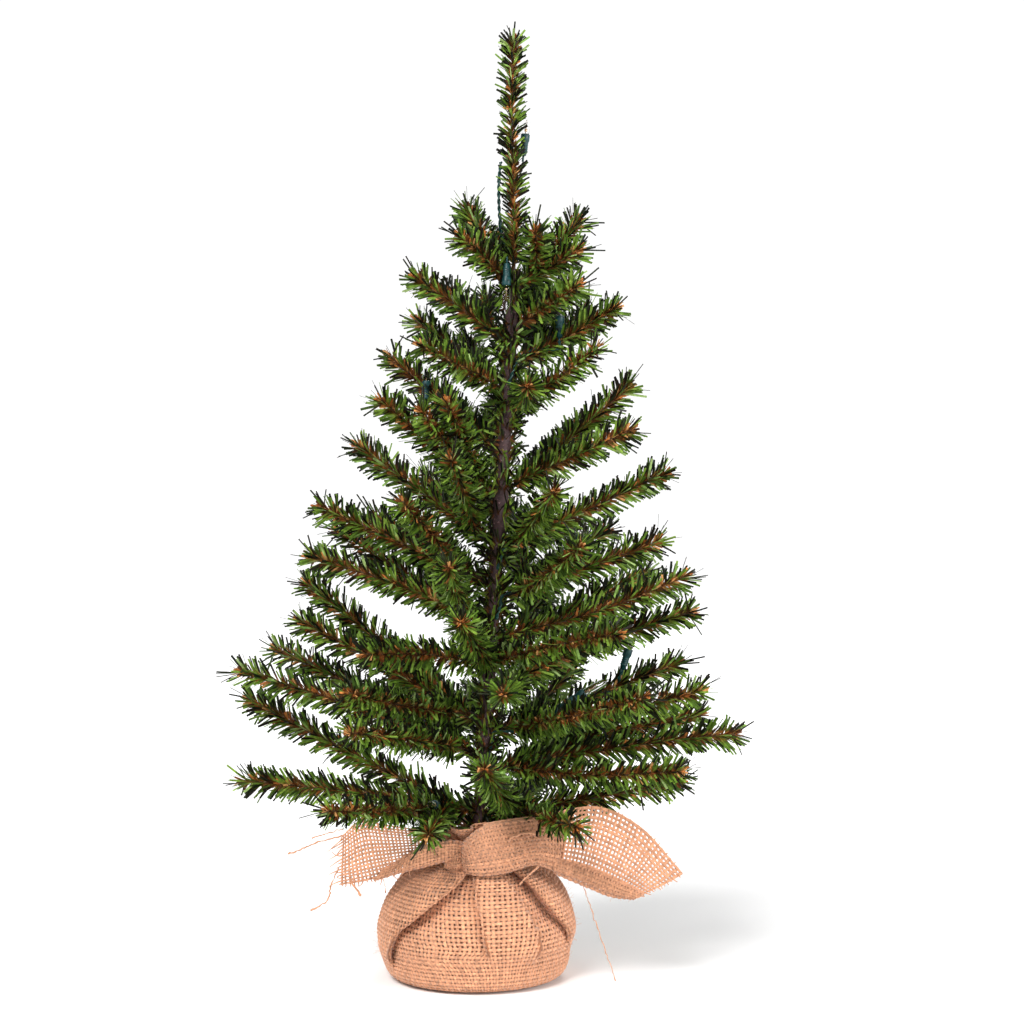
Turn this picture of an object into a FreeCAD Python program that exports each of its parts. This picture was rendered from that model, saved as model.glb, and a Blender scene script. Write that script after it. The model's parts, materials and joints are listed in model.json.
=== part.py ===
import FreeCAD, Part
import math
import os

# An artificial tabletop tree. Millimetres and degrees, +Z up, origin at the centre of the
# base's underside. Azimuth 0 is +X, 90 is +Y (the back), 180 is -X and 270 is -Y (the front).

V = FreeCAD.Vector

# ---- driving dimensions -------------------------------------------------------------

TREE_HEIGHT = 610.0

# The trunk stands upright in the base, leans towards +X, and is upright again at the top.
LEAN_START = 60.0
LEAN_END = 432.0
LEAN_SHIFT = 24.0
LEAN_BEND = 8.0  # tangent length of each of the trunk's two bends

ROD_RADIUS = 2.2
ROD_FOOT = 8.0
ROD_TOP = 454.0
TAPE_BORE = 3.9
TAPE_RADIUS = 4.3
TAPE_FOOT = 88.0
TAPE_TOP = 456.0

# Each branch's wire has a tail that is taped against the rod, below the branch.
TAIL_RADIUS = 0.7
TAIL_LENGTH = 12.0
TAIL_RING = ROD_RADIUS + 0.15 + TAIL_RADIUS

LEADER_WIRE_RADIUS = 0.9
LEADER_SOCKET_DEPTH = 14.0
LEADER_BRUSH_RADIUS = 7.0
LEADER_BRUSH_FOOT = 462.0

WIRE_RADIUS = 0.8
WIRE_GAP = 0.1  # between a side wire and the stem it is bound to
HINGE_GAP = 1.0  # from the tape's surface to the hinge, where the stem starts
SIDE_START = 5.0  # from the hinge to the start of the side wires
TIP_COVER = 6.0  # needles past the end of their wire
FIRST_FORK = 12.0  # from the hinge to the first side wire's bend
FORK_STEP = 3.0
FORK_TANGENT = 4.5  # tangent length of a side wire's bend

BRUSH_RADII = (6.0, 5.0, 4.0, 3.0, 2.4)  # the largest that fits is used
BRUSH_BORE_GAP = 0.05  # between a wire and the needles round it
BRUSH_CLEARANCE = 0.6
BRUSH_STEP = 3.0
SHORTEST_BRUSH = 16.0

# One entry for each branch: the height of its root on the trunk, then its tips. A tip is the
# azimuth and elevation of the line from the trunk to it, and its reach along that line.
# The first tip is on the branch's stem, and the others are on side wires bound to it.
BRANCHES = (
    (450, ((212, 34, 54), (135, 48, 68), (95, 38, 52))),
    (446, ((350, 28, 54), (15, 44, 66), (290, 43, 54), (60, 36, 52))),
    (420, ((322, 25, 64), (44, 30, 66), (78, 34, 62))),
    (412, ((182, 33, 78), (138, 30, 66), (105, 26, 64))),
    (396, ((355, 27, 82), (34, 28, 78), (70, 26, 74))),
    (380, ((216, 22, 78), (155, 34, 84), (114, 26, 76))),
    (366, ((328, 31, 84), (280, 13, 74))),
    (340, ((172, 39, 102), (126, 26, 92), (90, 22, 88))),
    (317, ((343, 23, 100), (12, 38, 112), (50, 24, 98))),
    (311, ((210, 36, 112), (234, 34, 106), (243, 41, 100))),
    (282, ((167, 33, 118), (252, 32, 110), (122, 22, 108))),
    (278, ((358, 24, 124), (293, 24, 104), (60, 5, 102), (98, 16, 104))),
    (255, ((181, 24, 128), (148, 23, 110), (234, 31, 116))),
    (246, ((10, 18, 120), (303, 22, 110), (44, 20, 118), (82, 16, 112))),
    (231, ((188, 20, 130), (158, 27, 130), (257, 21, 124), (114, 16, 118))),
    (220, ((354, 18, 136), (30, 18, 130), (68, 14, 124))),
    (202, ((262, 18, 134), (312, 14, 128), (222, 8, 110))),
    (187, ((4, 20, 146), (44, 15, 136), (274, 5, 126))),
    (165, ((173, 28, 144), (163, 35, 158), (224, 14, 126), (128, 18, 132))),
    (158, ((14, 18, 142), (346, 13, 150), (319, 15, 140), (62, 14, 134))),
    (145, ((184, 19, 172), (158, 22, 168), (233, 12, 142), (116, 14, 144), (92, 12, 140))),
    (134, ((353, 9, 170), (7, 13, 152), (332, 4, 146), (50, 8, 146))),
    (108, ((187, 8, 160), (169, 24, 176), (228, 7, 144), (248, -3, 88))),
    (107, ((0, 9, 137), (310, 1, 100), (271, 20, 146), (72, 8, 140))),
)

# The burlap bag, its weight, and the burlap strip tied round its neck. The bag and its
# gathered mouth above the tie are outlines in radius and height.
BAG_PROFILE = (
    (50.0, 0.0),
    (58.0, 4.0),
    (61.0, 12.0),
    (61.5, 28.0),
    (60.0, 46.0),
    (52.0, 62.0),
    (36.0, 74.0),
    (19.0, 81.0),
)
MOUTH_PROFILE = ((19.0, 81.0), (17.0, 86.0), (19.0, 93.0), (25.0, 99.0))
SACK_BORE = 7.8
WEIGHT_POCKET_GAP = 0.3
WEIGHT_RADIUS = 54.0
WEIGHT_FOOT = 2.3
WEIGHT_HEIGHT = 31.0
WEIGHT_CHAMFER = 6.0

BAND_BORE = 19.6
BAND_RADIUS = 23.0
BAND_FOOT = 82.0
BAND_HEIGHT = 11.0
KNOT_CENTRE = V(-8.0, -33.0, 87.0)
KNOT_RADIUS = 10.5
KNOT_DEPTH = 12.0
KNOT_FILLET = 4.0
RIBBON_THICKNESS = 2.4
# Stations along each tail of the strip: a point on one edge and the point across from it.
RIGHT_TAIL = (
    (V(5.5, -31.0, 98.0), V(5.5, -31.0, 78.0)),
    (V(40.0, -31.0, 101.0), V(38.0, -31.0, 77.0)),
    (V(80.0, -28.0, 104.0), V(66.0, -30.0, 74.0)),
    (V(131.0, -26.0, 67.0), V(101.0, -30.0, 50.0)),
)
LEFT_TAIL = (
    (V(-21.5, -31.0, 94.0), V(-21.5, -31.0, 78.0)),
    (V(-52.0, -27.0, 98.0), V(-48.0, -31.0, 69.0)),
    (V(-80.0, -22.0, 99.0), V(-88.0, -26.0, 62.0)),
)

# The light string, which is pressed against the trunk, and its lamps.
STRING_RADIUS = 0.8
SOCKET_RADIUS = 2.9
SOCKET_LENGTH = 14.0
SOCKET_BORE = 2.0
SOCKET_BORE_DEPTH = 6.0
BULB_STEM_RADIUS = 1.9
BULB_RADIUS = 2.5
BULB_LENGTH = 14.0
BULB_TIP = 4.0
# Each stop is a height, an azimuth and a distance from the trunk's centreline.
STRING_ROUTES = (
    (
        (98, 92, 6.4),
        (128, 78, 6.6),
        (170, 98, 6.6),
        (214, 80, 6.6),
        (258, 99, 6.6),
        (303, 80, 6.6),
        (348, 99, 6.6),
        (392, 81, 6.6),
        (432, 98, 6.8),
        (460, 118, 8.6),
        (484, 150, 9.4),
        (508, 172, 9.2),
        (524, 140, 10.2),
    ),
    ((438, 128, 6.6), (441, 165, 7.6), (444, 200, 7.8), (450, 232, 9.0)),
)
# The place of each lamp's foot, as a stop, and the azimuth and elevation that it points in.
TRUNK_LAMPS = (
    ((528, 52, 10.6), (56, 80)),
    ((459, 250, 11.4), (250, -86)),
    ((385, 96, 11.2), (100, 62)),
    ((300, 84, 11.2), (70, 58)),
    ((176, 98, 11.2), (110, 60)),
)
LAMP_BRANCH = 20
BRANCH_LAMPS = (
    (V(95.0, 18.0, 197.0), (8, 72)),
    (V(58.0, -9.0, 178.5), (352, 30)),
)


# ---- geometry helpers ---------------------------------------------------------------


def direction(azimuth, elevation):
    a = math.radians(azimuth)
    e = math.radians(elevation)
    return V(math.cos(e) * math.cos(a), math.cos(e) * math.sin(a), math.sin(e))


def trunk_point(height):
    share = min(max((height - LEAN_START) / (LEAN_END - LEAN_START), 0.0), 1.0)
    return V(LEAN_SHIFT * share, 0.0, height)


def trunk_direction(height):
    if LEAN_START < height < LEAN_END:
        return V(LEAN_SHIFT, 0.0, LEAN_END - LEAN_START).normalize()
    return V(0.0, 0.0, 1.0)


def path_wire(points, tangents):
    """Straight runs through the points, with an arc of the given tangent length at each corner."""
    edges = []
    start = points[0]
    for corner, following, tangent in zip(points[1:-1], points[2:], tangents):
        inward = (corner - start).normalize()
        outward = (following - corner).normalize()
        arc_start = corner - inward * tangent
        arc_end = corner + outward * tangent
        # the arc's middle lies on the corner's bisector
        half_turn = inward.getAngle(outward) / 2.0
        radius = tangent / math.tan(half_turn)
        to_middle = radius / math.cos(half_turn) - radius
        middle = corner + (outward - inward).normalize() * to_middle
        edges.append(Part.LineSegment(start, arc_start).toShape())
        edges.append(Part.Arc(arc_start, middle, arc_end).toShape())
        start = arc_end
    edges.append(Part.LineSegment(start, points[-1]).toShape())
    return Part.Wire(edges)


def tube(points, tangents, radius):
    heading = (points[1] - points[0]).normalize()
    profile = Part.Wire(Part.Circle(points[0], heading, radius).toShape())
    return path_wire(points, tangents).makePipeShell([profile], True, True)


def trunk_tube(foot, top, radius):
    points = [trunk_point(foot)]
    tangents = []
    if foot < LEAN_START - LEAN_BEND:
        points.append(trunk_point(LEAN_START))
        tangents.append(LEAN_BEND)
    if top > LEAN_END:
        points.append(trunk_point(LEAN_END))
        tangents.append(min(LEAN_BEND, 0.9 * (top - LEAN_END)))
    points.append(trunk_point(top))
    return tube(points, tangents, radius)


def turned(profile, origin, heading):
    """The solid of a closed (radius, length) outline, turned about the heading."""
    corners = [V(r, 0.0, s) for r, s in profile]
    face = Part.Face(Part.makePolygon(corners + corners[:1]))
    solid = face.revolve(V(0, 0, 0), V(0, 0, 1), 360.0)
    solid.Placement = FreeCAD.Placement(origin, FreeCAD.Rotation(V(0, 0, 1), heading))
    return solid


def segment_distance(a, b, c, d):
    """The shortest distance between the segments a-b and c-d."""
    u = b - a
    v = d - c
    w = a - c
    uu = u.dot(u)
    uv = u.dot(v)
    vv = v.dot(v)
    uw = u.dot(w)
    vw = v.dot(w)
    det = uu * vv - uv * uv
    s = min(max((uv * vw - vv * uw) / det, 0.0), 1.0) if det > 1e-9 else 0.0
    t = min(max((uv * s + vw) / vv, 0.0), 1.0)
    s = min(max((uv * t - uw) / uu, 0.0), 1.0)
    return ((a + u * s) - (c + v * t)).Length


# ---- branches -----------------------------------------------------------------------

# What the needles of the branches stay clear of, as (start, end, radius).
TRUNK_OBSTACLES = [
    (trunk_point(90.0), trunk_point(LEAN_END), TAPE_RADIUS),
    (trunk_point(LEAN_END), trunk_point(LEADER_BRUSH_FOOT), TAPE_RADIUS),
    (trunk_point(LEADER_BRUSH_FOOT), trunk_point(TREE_HEIGHT), LEADER_BRUSH_RADIUS),
]


def hinge_point(height, azimuth):
    return trunk_point(height) + direction(azimuth, 0.0) * (TAPE_RADIUS + HINGE_GAP)


def tip_point(height, tip):
    azimuth, elevation, reach = tip
    return trunk_point(height) + direction(azimuth, elevation) * reach


def branch_wires(height, tips):
    """For each tip, the points of its wire's centreline, from its root to its end."""
    hinge = hinge_point(height, tips[0][0])
    stem_tip = tip_point(height, tips[0])
    stem = (stem_tip - hinge).normalize()
    wires = [[hinge, stem_tip - stem * TIP_COVER]]
    for i, tip in enumerate(tips[1:]):
        end = tip_point(height, tip)
        fork = hinge + stem * (FIRST_FORK + FORK_STEP * i)
        away = end - fork
        across = (away - stem * away.dot(stem)).normalize()
        side_by_side = across * (2.0 * WIRE_RADIUS + WIRE_GAP)
        fork = fork + side_by_side
        outward = (end - fork).normalize()
        foot = hinge + stem * SIDE_START + side_by_side
        wires.append([foot, fork, end - outward * TIP_COVER])
    return wires


def fork_tangent(points):
    """A side wire's tangent length: as long as it can be without a bend over 25 mm radius."""
    turn = (points[1] - points[0]).getAngle(points[2] - points[1])
    return min(FORK_TANGENT, 25.0 * math.tan(turn / 2.0))


def wire_solid(points):
    if len(points) == 2:
        along = points[1] - points[0]
        return Part.makeCylinder(WIRE_RADIUS, along.Length, points[0], along)
    return tube(points, [fork_tangent(points)], WIRE_RADIUS)


def brush_solid(start, end, radius, wire_radius=WIRE_RADIUS):
    """Needles round the wire that ends at end: a tapered sleeve, closed past the wire's end."""
    along = end - start
    length = along.Length
    bore = wire_radius + BRUSH_BORE_GAP
    profile = (
        (bore, 0.0),
        (0.55 * radius, 0.0),
        (radius, 10.0),
        (radius, length - 4.0),
        (0.7 * radius, length + 3.0),
        (0.0, length + TIP_COVER),
        (0.0, length + 0.1),
        (bore, length + 0.1),
    )
    return turned(profile, start, along)


def fit_brush(start, end, obstacles):
    """The start and radius of the largest brush on this wire that is clear of the obstacles."""
    along = (end - start).normalize()
    length = (end - start).Length
    nose = end + along * TIP_COVER
    for radius in BRUSH_RADII:
        first = 0.0
        while length - first >= SHORTEST_BRUSH:
            foot = start + along * first
            if all(
                segment_distance(foot, nose, a, b) >= radius + r + BRUSH_CLEARANCE
                for a, b, r in obstacles
            ):
                return foot, radius
            first += BRUSH_STEP
    return None


def plan_brushes(wires_of):
    """For each branch, the (start, end, radius) of its brushes, all clear of each other."""
    wire_runs = [
        (branch, i, a, b)
        for branch, wires in enumerate(wires_of)
        for i, points in enumerate(wires)
        for a, b in zip(points, points[1:])
    ]
    plans = [[None] * len(wires) for wires in wires_of]
    placed = []
    deepest = max(len(wires) for wires in wires_of)
    for i in range(deepest):
        for branch, wires in enumerate(wires_of):
            if i >= len(wires):
                continue
            start, end = wires[i][-2:]
            outward = (end - start).normalize()
            start = start + outward * (BRUSH_STEP + FORK_TANGENT)
            others = [
                (a, b, WIRE_RADIUS) for k, j, a, b in wire_runs if (k, j) != (branch, i)
            ]
            found = fit_brush(start, end, others + placed + TRUNK_OBSTACLES)
            if found is None:
                raise ValueError(f"no room for the needles of branch {branch + 1} tip {i + 1}")
            foot, radius = found
            plans[branch][i] = (foot, end, radius)
            placed.append((foot, end + outward * TIP_COVER, radius))
    return plans


def branch_name(number):
    return f"branch_{number:02d}"


# ---- trunk and leader ---------------------------------------------------------------

LEADER_WIRE_FOOT = ROD_TOP - LEADER_SOCKET_DEPTH
LEADER_WIRE_TOP = TREE_HEIGHT - TIP_COVER


def trunk_core():
    """The centre rod, drilled for the leader, and the tails of the branch wires round it."""
    rod = trunk_tube(ROD_FOOT, ROD_TOP, ROD_RADIUS)
    socket = Part.makeCylinder(
        LEADER_WIRE_RADIUS + 0.05, LEADER_SOCKET_DEPTH + 1.0, trunk_point(LEADER_WIRE_FOOT)
    )
    solids = [rod.cut(socket)]
    for height, tips in BRANCHES:
        up = trunk_direction(height)
        top = trunk_point(height - 1.0) + direction(tips[0][0], 0.0) * TAIL_RING
        solids.append(Part.makeCylinder(TAIL_RADIUS, TAIL_LENGTH, top, up * -1.0))
    return Part.makeCompound(solids)


def trunk_tape():
    outer = trunk_tube(TAPE_FOOT, TAPE_TOP, TAPE_RADIUS)
    bore = trunk_tube(TAPE_FOOT - 2.0, TAPE_TOP + 2.0, TAPE_BORE)
    return outer.cut(bore)


def leader_wire():
    foot = trunk_point(LEADER_WIRE_FOOT + 0.1)
    top = trunk_point(LEADER_WIRE_TOP)
    return Part.makeCylinder(LEADER_WIRE_RADIUS, (top - foot).Length, foot, top - foot)


def leader_needles():
    foot = trunk_point(LEADER_BRUSH_FOOT)
    end = trunk_point(LEADER_WIRE_TOP + 0.1)
    return brush_solid(foot, end, LEADER_BRUSH_RADIUS, LEADER_WIRE_RADIUS)


# ---- base ---------------------------------------------------------------------------


def weight_profile(gap):
    """The outline of the weight, in radius and height, grown by the gap."""
    foot = WEIGHT_FOOT - gap
    top = WEIGHT_FOOT + WEIGHT_HEIGHT + gap
    radius = WEIGHT_RADIUS + gap
    return [
        (0.0, foot),
        (radius - WEIGHT_CHAMFER, foot),
        (radius, foot + WEIGHT_CHAMFER),
        (radius, top - WEIGHT_CHAMFER),
        (radius - WEIGHT_CHAMFER, top),
    ]


def base_weight():
    bore = ROD_RADIUS + 0.05
    outline = weight_profile(0.0)
    rod_socket = [(bore, outline[-1][1]), (bore, ROD_FOOT), (0.0, ROD_FOOT)]
    return turned(outline + rod_socket, V(0, 0, 0), V(0, 0, 1))


def burlap_sack():
    """The bag, filled but for the weight's pocket and a bore for the trunk, and its mouth."""
    pocket = weight_profile(WEIGHT_POCKET_GAP)
    pocket_top = pocket[-1][1]
    bag_top = BAG_PROFILE[-1][1]
    mouth_top = MOUTH_PROFILE[-1][1]
    bag = turned(
        [(0.0, 0.0)]
        + list(BAG_PROFILE)
        + [(SACK_BORE, bag_top), (SACK_BORE, pocket_top)]
        + pocket[::-1],
        V(0, 0, 0),
        V(0, 0, 1),
    )
    mouth = turned(
        list(MOUTH_PROFILE) + [(SACK_BORE, mouth_top), (SACK_BORE, bag_top)],
        V(0, 0, 0),
        V(0, 0, 1),
    )
    return Part.makeCompound([bag, mouth])


def ribbon(stations):
    """A strip of cloth as a loft through thin rectangles, one for each station."""
    sections = []
    for k, (top, bottom) in enumerate(stations):
        before = stations[max(k - 1, 0)]
        after = stations[min(k + 1, len(stations) - 1)]
        along = (after[0] + after[1]) - (before[0] + before[1])
        face_normal = along.cross(top - bottom).normalize() * (RIBBON_THICKNESS / 2.0)
        corners = [top + face_normal, top - face_normal, bottom - face_normal, bottom + face_normal]
        sections.append(Part.makePolygon(corners + corners[:1]))
    return Part.makeLoft(sections, True, True)


def burlap_tie():
    band = Part.makeCylinder(BAND_RADIUS, BAND_HEIGHT, V(0, 0, BAND_FOOT)).cut(
        Part.makeCylinder(BAND_BORE, BAND_HEIGHT, V(0, 0, BAND_FOOT))
    )
    knot = Part.makeCylinder(
        KNOT_RADIUS, KNOT_DEPTH, KNOT_CENTRE + V(0, KNOT_DEPTH / 2.0, 0), V(0, -1, 0)
    )
    rims = [edge for edge in knot.Edges if isinstance(edge.Curve, Part.Circle)]
    knot = knot.makeFillet(KNOT_FILLET, rims)
    return Part.makeCompound([band, knot, ribbon(RIGHT_TAIL), ribbon(LEFT_TAIL)])


# ---- light string -------------------------------------------------------------------


def beside_trunk(height, azimuth, distance):
    return trunk_point(height) + direction(azimuth, 0.0) * distance


def corner_tangents(points):
    """0.45 of the shorter run at each corner."""
    runs = [(b - a).Length for a, b in zip(points, points[1:])]
    return [0.45 * min(before, after) for before, after in zip(runs, runs[1:])]


def light_wire():
    solids = []
    for route in STRING_ROUTES:
        points = [beside_trunk(*stop) for stop in route]
        solids.append(tube(points, corner_tangents(points), STRING_RADIUS))
    return Part.makeCompound(solids)


def socket_solid(foot, heading):
    base = 0.6 * SOCKET_RADIUS
    profile = (
        (0.0, 0.0),
        (base, 0.0),
        (0.85 * SOCKET_RADIUS, 3.0),
        (0.85 * SOCKET_RADIUS, SOCKET_LENGTH - 5.0),
        (SOCKET_RADIUS, SOCKET_LENGTH - 4.0),
        (SOCKET_RADIUS, SOCKET_LENGTH),
        (SOCKET_BORE, SOCKET_LENGTH),
        (SOCKET_BORE, SOCKET_LENGTH - SOCKET_BORE_DEPTH),
        (0.0, SOCKET_LENGTH - SOCKET_BORE_DEPTH),
    )
    return turned(profile, foot, heading)


def bulb_solid(foot, heading):
    stem_foot = SOCKET_LENGTH - SOCKET_BORE_DEPTH + 0.1
    body_foot = SOCKET_LENGTH + 0.1
    profile = (
        (0.0, stem_foot),
        (BULB_STEM_RADIUS, stem_foot),
        (BULB_STEM_RADIUS, body_foot),
        (BULB_RADIUS, body_foot + 1.0),
        (BULB_RADIUS, body_foot + BULB_LENGTH),
        (0.6 * BULB_RADIUS, body_foot + BULB_LENGTH + 0.5 * BULB_TIP),
        (0.0, body_foot + BULB_LENGTH + BULB_TIP),
    )
    return turned(profile, foot, heading)


def lamp_parts(lamps, make_solid):
    return Part.makeCompound([make_solid(foot, direction(*aim)) for foot, aim in lamps])


# ---- build --------------------------------------------------------------------------


def build():
    trunk_lamps = [(beside_trunk(*place), aim) for place, aim in TRUNK_LAMPS]
    nodes = {
        "trunk_core_wires": trunk_core(),
        "trunk_tape": trunk_tape(),
        "leader_wire": leader_wire(),
        "leader_needles": leader_needles(),
        "base_weight": base_weight(),
        "burlap_sack": burlap_sack(),
        "burlap_tie": burlap_tie(),
        "light_wire": light_wire(),
        "lamp_sockets": lamp_parts(trunk_lamps, socket_solid),
        "lamp_bulbs": lamp_parts(trunk_lamps, bulb_solid),
    }
    wires_of = [branch_wires(height, tips) for height, tips in BRANCHES]
    for number, (wires, brushes) in enumerate(zip(wires_of, plan_brushes(wires_of)), 1):
        name = branch_name(number)
        nodes[name + "_wire"] = Part.makeCompound([wire_solid(points) for points in wires])
        nodes[name + "_needles"] = Part.makeCompound([brush_solid(*plan) for plan in brushes])
    lamp_branch = branch_name(LAMP_BRANCH)
    nodes[lamp_branch + "_sockets"] = lamp_parts(BRANCH_LAMPS, socket_solid)
    nodes[lamp_branch + "_bulbs"] = lamp_parts(BRANCH_LAMPS, bulb_solid)
    return nodes


os.makedirs("parts", exist_ok=True)
for node_name, shape in build().items():
    shape.exportStep(f"parts/{node_name}.step")
    print(node_name, len(shape.Solids), "solids", round(shape.Volume, 1), "mm3", shape.isValid())
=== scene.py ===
import json
import math

import bpy
import numpy as np
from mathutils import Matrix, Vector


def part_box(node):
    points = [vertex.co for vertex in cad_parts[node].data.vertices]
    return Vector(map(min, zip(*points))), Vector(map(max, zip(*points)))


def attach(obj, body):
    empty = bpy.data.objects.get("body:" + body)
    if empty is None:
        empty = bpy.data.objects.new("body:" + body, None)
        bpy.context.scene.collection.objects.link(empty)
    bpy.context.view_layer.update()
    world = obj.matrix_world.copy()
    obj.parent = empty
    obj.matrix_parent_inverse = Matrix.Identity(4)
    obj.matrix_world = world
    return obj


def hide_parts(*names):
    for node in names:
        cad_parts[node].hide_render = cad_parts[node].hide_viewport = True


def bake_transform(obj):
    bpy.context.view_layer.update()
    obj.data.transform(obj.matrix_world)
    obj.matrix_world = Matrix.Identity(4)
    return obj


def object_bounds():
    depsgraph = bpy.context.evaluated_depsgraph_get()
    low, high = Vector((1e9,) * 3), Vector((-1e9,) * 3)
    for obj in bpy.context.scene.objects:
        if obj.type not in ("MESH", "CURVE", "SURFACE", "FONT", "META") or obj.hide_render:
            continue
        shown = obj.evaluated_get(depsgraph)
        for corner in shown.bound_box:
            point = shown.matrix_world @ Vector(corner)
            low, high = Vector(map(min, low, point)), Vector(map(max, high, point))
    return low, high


# The looks of an artificial tabletop tree: film needles twisted into wires, a taped trunk, mini
# lamps, and a woven burlap sack with a tied strip. Metres, +Z up, front towards -Y.

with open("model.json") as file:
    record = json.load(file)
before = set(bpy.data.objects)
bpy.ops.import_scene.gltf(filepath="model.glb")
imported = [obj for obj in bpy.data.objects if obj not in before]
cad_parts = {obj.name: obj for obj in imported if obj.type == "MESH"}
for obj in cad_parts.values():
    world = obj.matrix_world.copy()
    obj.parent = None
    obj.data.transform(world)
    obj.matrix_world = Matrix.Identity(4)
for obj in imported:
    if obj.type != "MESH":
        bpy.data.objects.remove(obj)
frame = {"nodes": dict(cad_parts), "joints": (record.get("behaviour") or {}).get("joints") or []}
CAD_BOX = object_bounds()

NODES = frame["nodes"]
TRUNK = "trunk"
MM = 0.001
SEED = 418
UP = np.array((0.0, 0.0, 1.0))
TURN = 2.0 * math.pi
GREY = (0.5, 0.5, 0.5)  # the tint of pieces whose material doesn't read it

# ---- camera, floor and lights ----

CAMERA_PLACE = (0.0233, -1.7, 0.40)
CAMERA_PITCH = 3.35  # degrees below the horizon
CAMERA_LENS = 93.4
FLOOR_SIZE = 60.0
FLOOR_WHITE = 0.95
FLOOR_DROP = 0.2 * MM
WORLD_WHITE = 1.05
WORLD_OVERHEAD = 0.28
WORLD_BAND = 0.2  # sine of the elevation where it starts to dim

# ---- needles ----

NEEDLES_PER_METRE = 4000
HUSKS_PER_METRE = 2500  # the short brown strips at the core
NEEDLE_LENGTH = 13.0 * MM
NEEDLE_WIDTH = 1.4 * MM
NEEDLE_THICKNESS = 0.22 * MM
NEEDLE_LEAN = 53.0  # degrees from the wire, towards the tip
TWIST_PITCH = 16.0 * MM
BLADE_SPREAD = 0.62  # radians
STRAY_SHARE = 0.025  # of the needles, which are longer by STRAY_EXTRA
STRAY_EXTRA = 0.35
SPLAYED_SHARE = 0.03  # of the needles, which lean further out by SPLAY, in radians
SPLAY = 0.5
HUSK_LENGTH = 6.0 * MM
HUSK_LEAN = 48.0  # degrees
TIP_COVER = 6.0 * MM  # needles past the end of the wire
LAST_ROOT = 8.5 * MM  # from the end of a brush back to its last roots
TIP_CLOSING = 16.0 * MM  # from the end of a brush back to where its needles lean in
BUD_STRIPS = 10
DARK_SHARE = 0.22  # of a branch's needles
STEM_BARE = 2.5 * MM  # from the hinge to a stem's first needles
STATION = 1.5 * MM  # between the stations of a wire's path
LEADER_REACH = 0.84
LEADER_SHORT = 3.0 * MM
LEADER_DARKS = 0.34

# ---- wires ----

STRAND_RADIUS = 0.55 * MM
STRAND_OFFSET = 0.5 * MM
STRAND_PITCH = 5.5 * MM
STRAND_SIDES = 5
RING_REACH = 2.2 * 0.8 * MM  # reaches right across the ring at a CAD wire's end
WELD = 0.002 * MM  # corners of a CAD mesh closer than this are one


def srgb(red, green, blue):
    """A colour in linear light, from its usual 0 to 255 values."""
    share = np.array((red, green, blue)) / 255.0
    return np.where(share <= 0.04045, share / 12.92, ((share + 0.055) / 1.055) ** 2.4)


GREENS = np.array([srgb(98, 130, 42), srgb(79, 106, 34), srgb(126, 156, 60), srgb(63, 86, 31)])
# dark needles: a darker tone at random, and painted shade where needles point up
DARKS_AND_PAINTED_SHADE = np.array([srgb(15, 23, 9), srgb(28, 33, 13), srgb(26, 20, 11)])
# pale greens that are painted highlights on the glossy needles
PAINTED_HIGHLIGHT_GREENS = np.array([srgb(158, 184, 112), srgb(134, 170, 84)])
BROWNS = np.array([srgb(134, 78, 36), srgb(92, 56, 27), srgb(140, 84, 42), srgb(66, 42, 24)])
ORANGES = np.array([srgb(196, 122, 62), srgb(214, 158, 98), srgb(186, 138, 84)])


def seeded(number):
    return np.random.default_rng(SEED + number)


# ---- vectors ----


def unit(vectors):
    return vectors / np.maximum(np.linalg.norm(vectors, axis=-1, keepdims=True), 1e-12)


def polar(reach, turn, height):
    """Points from their distances out, their turns about the vertical and their heights."""
    sides = (reach * np.cos(turn), reach * np.sin(turn), height)
    return np.stack(np.broadcast_arrays(*sides), axis=-1)


def heading_of(azimuth, elevation):
    rise = math.radians(elevation)
    return polar(math.cos(rise), math.radians(azimuth), math.sin(rise))


def smoothstep(share):
    share = np.clip(share, 0.0, 1.0)
    return share * share * (3.0 - 2.0 * share)


def distances(path):
    """How far along the path each of its points is."""
    runs = np.linalg.norm(np.diff(path, axis=0), axis=1)
    return np.concatenate(([0.0], np.cumsum(runs)))


def along(path, places, marks=None):
    """The points at these distances along the path, or at these places among its marks."""
    marks = distances(path) if marks is None else marks
    return np.stack([np.interp(places, marks, side) for side in path.T], axis=-1)


def evenly(path, step):
    total = distances(path)[-1]
    return along(path, np.linspace(0.0, total, max(int(round(total / step)) + 1, 3)))


def smoothed(path, passes):
    """The path with its corners rounded and its ends kept."""
    path = path.copy()
    for _ in range(passes):
        path[1:-1] = 0.25 * path[:-2] + 0.5 * path[1:-1] + 0.25 * path[2:]
    return path


def curve_through(points, count):
    """A Catmull-Rom curve through the points, with count points to each span."""
    points = np.asarray(points, float)
    ends = np.concatenate(([2 * points[0] - points[1]], points, [2 * points[-1] - points[-2]]))
    t = (np.arange(count) / count)[:, None]
    made = []
    for a, b, c, d in zip(ends, ends[1:], ends[2:], ends[3:]):
        line = 2 * b + (c - a) * t + (2 * a - 5 * b + 4 * c - d) * t**2
        made.append(0.5 * (line + (3 * b - a - 3 * c + d) * t**3))
    return np.concatenate((*made, points[-1:]))


def square_to(heading):
    """A unit vector across the heading."""
    side = np.cross(heading, UP)
    if np.linalg.norm(side) < 0.2:
        side = np.cross(heading, (1.0, 0.0, 0.0))
    return unit(side)


def carried_frame(path):
    """The tangents of a path and two unit vectors across it, carried along without twisting."""
    tangent = unit(np.gradient(path, axis=0))
    across = np.empty_like(path)
    across[0] = square_to(tangent[0])
    for k in range(1, len(path)):
        across[k] = unit(across[k - 1] - tangent[k] * (across[k - 1] @ tangent[k]))
    return tangent, across, np.cross(tangent, across)


# ---- meshes ----


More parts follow.
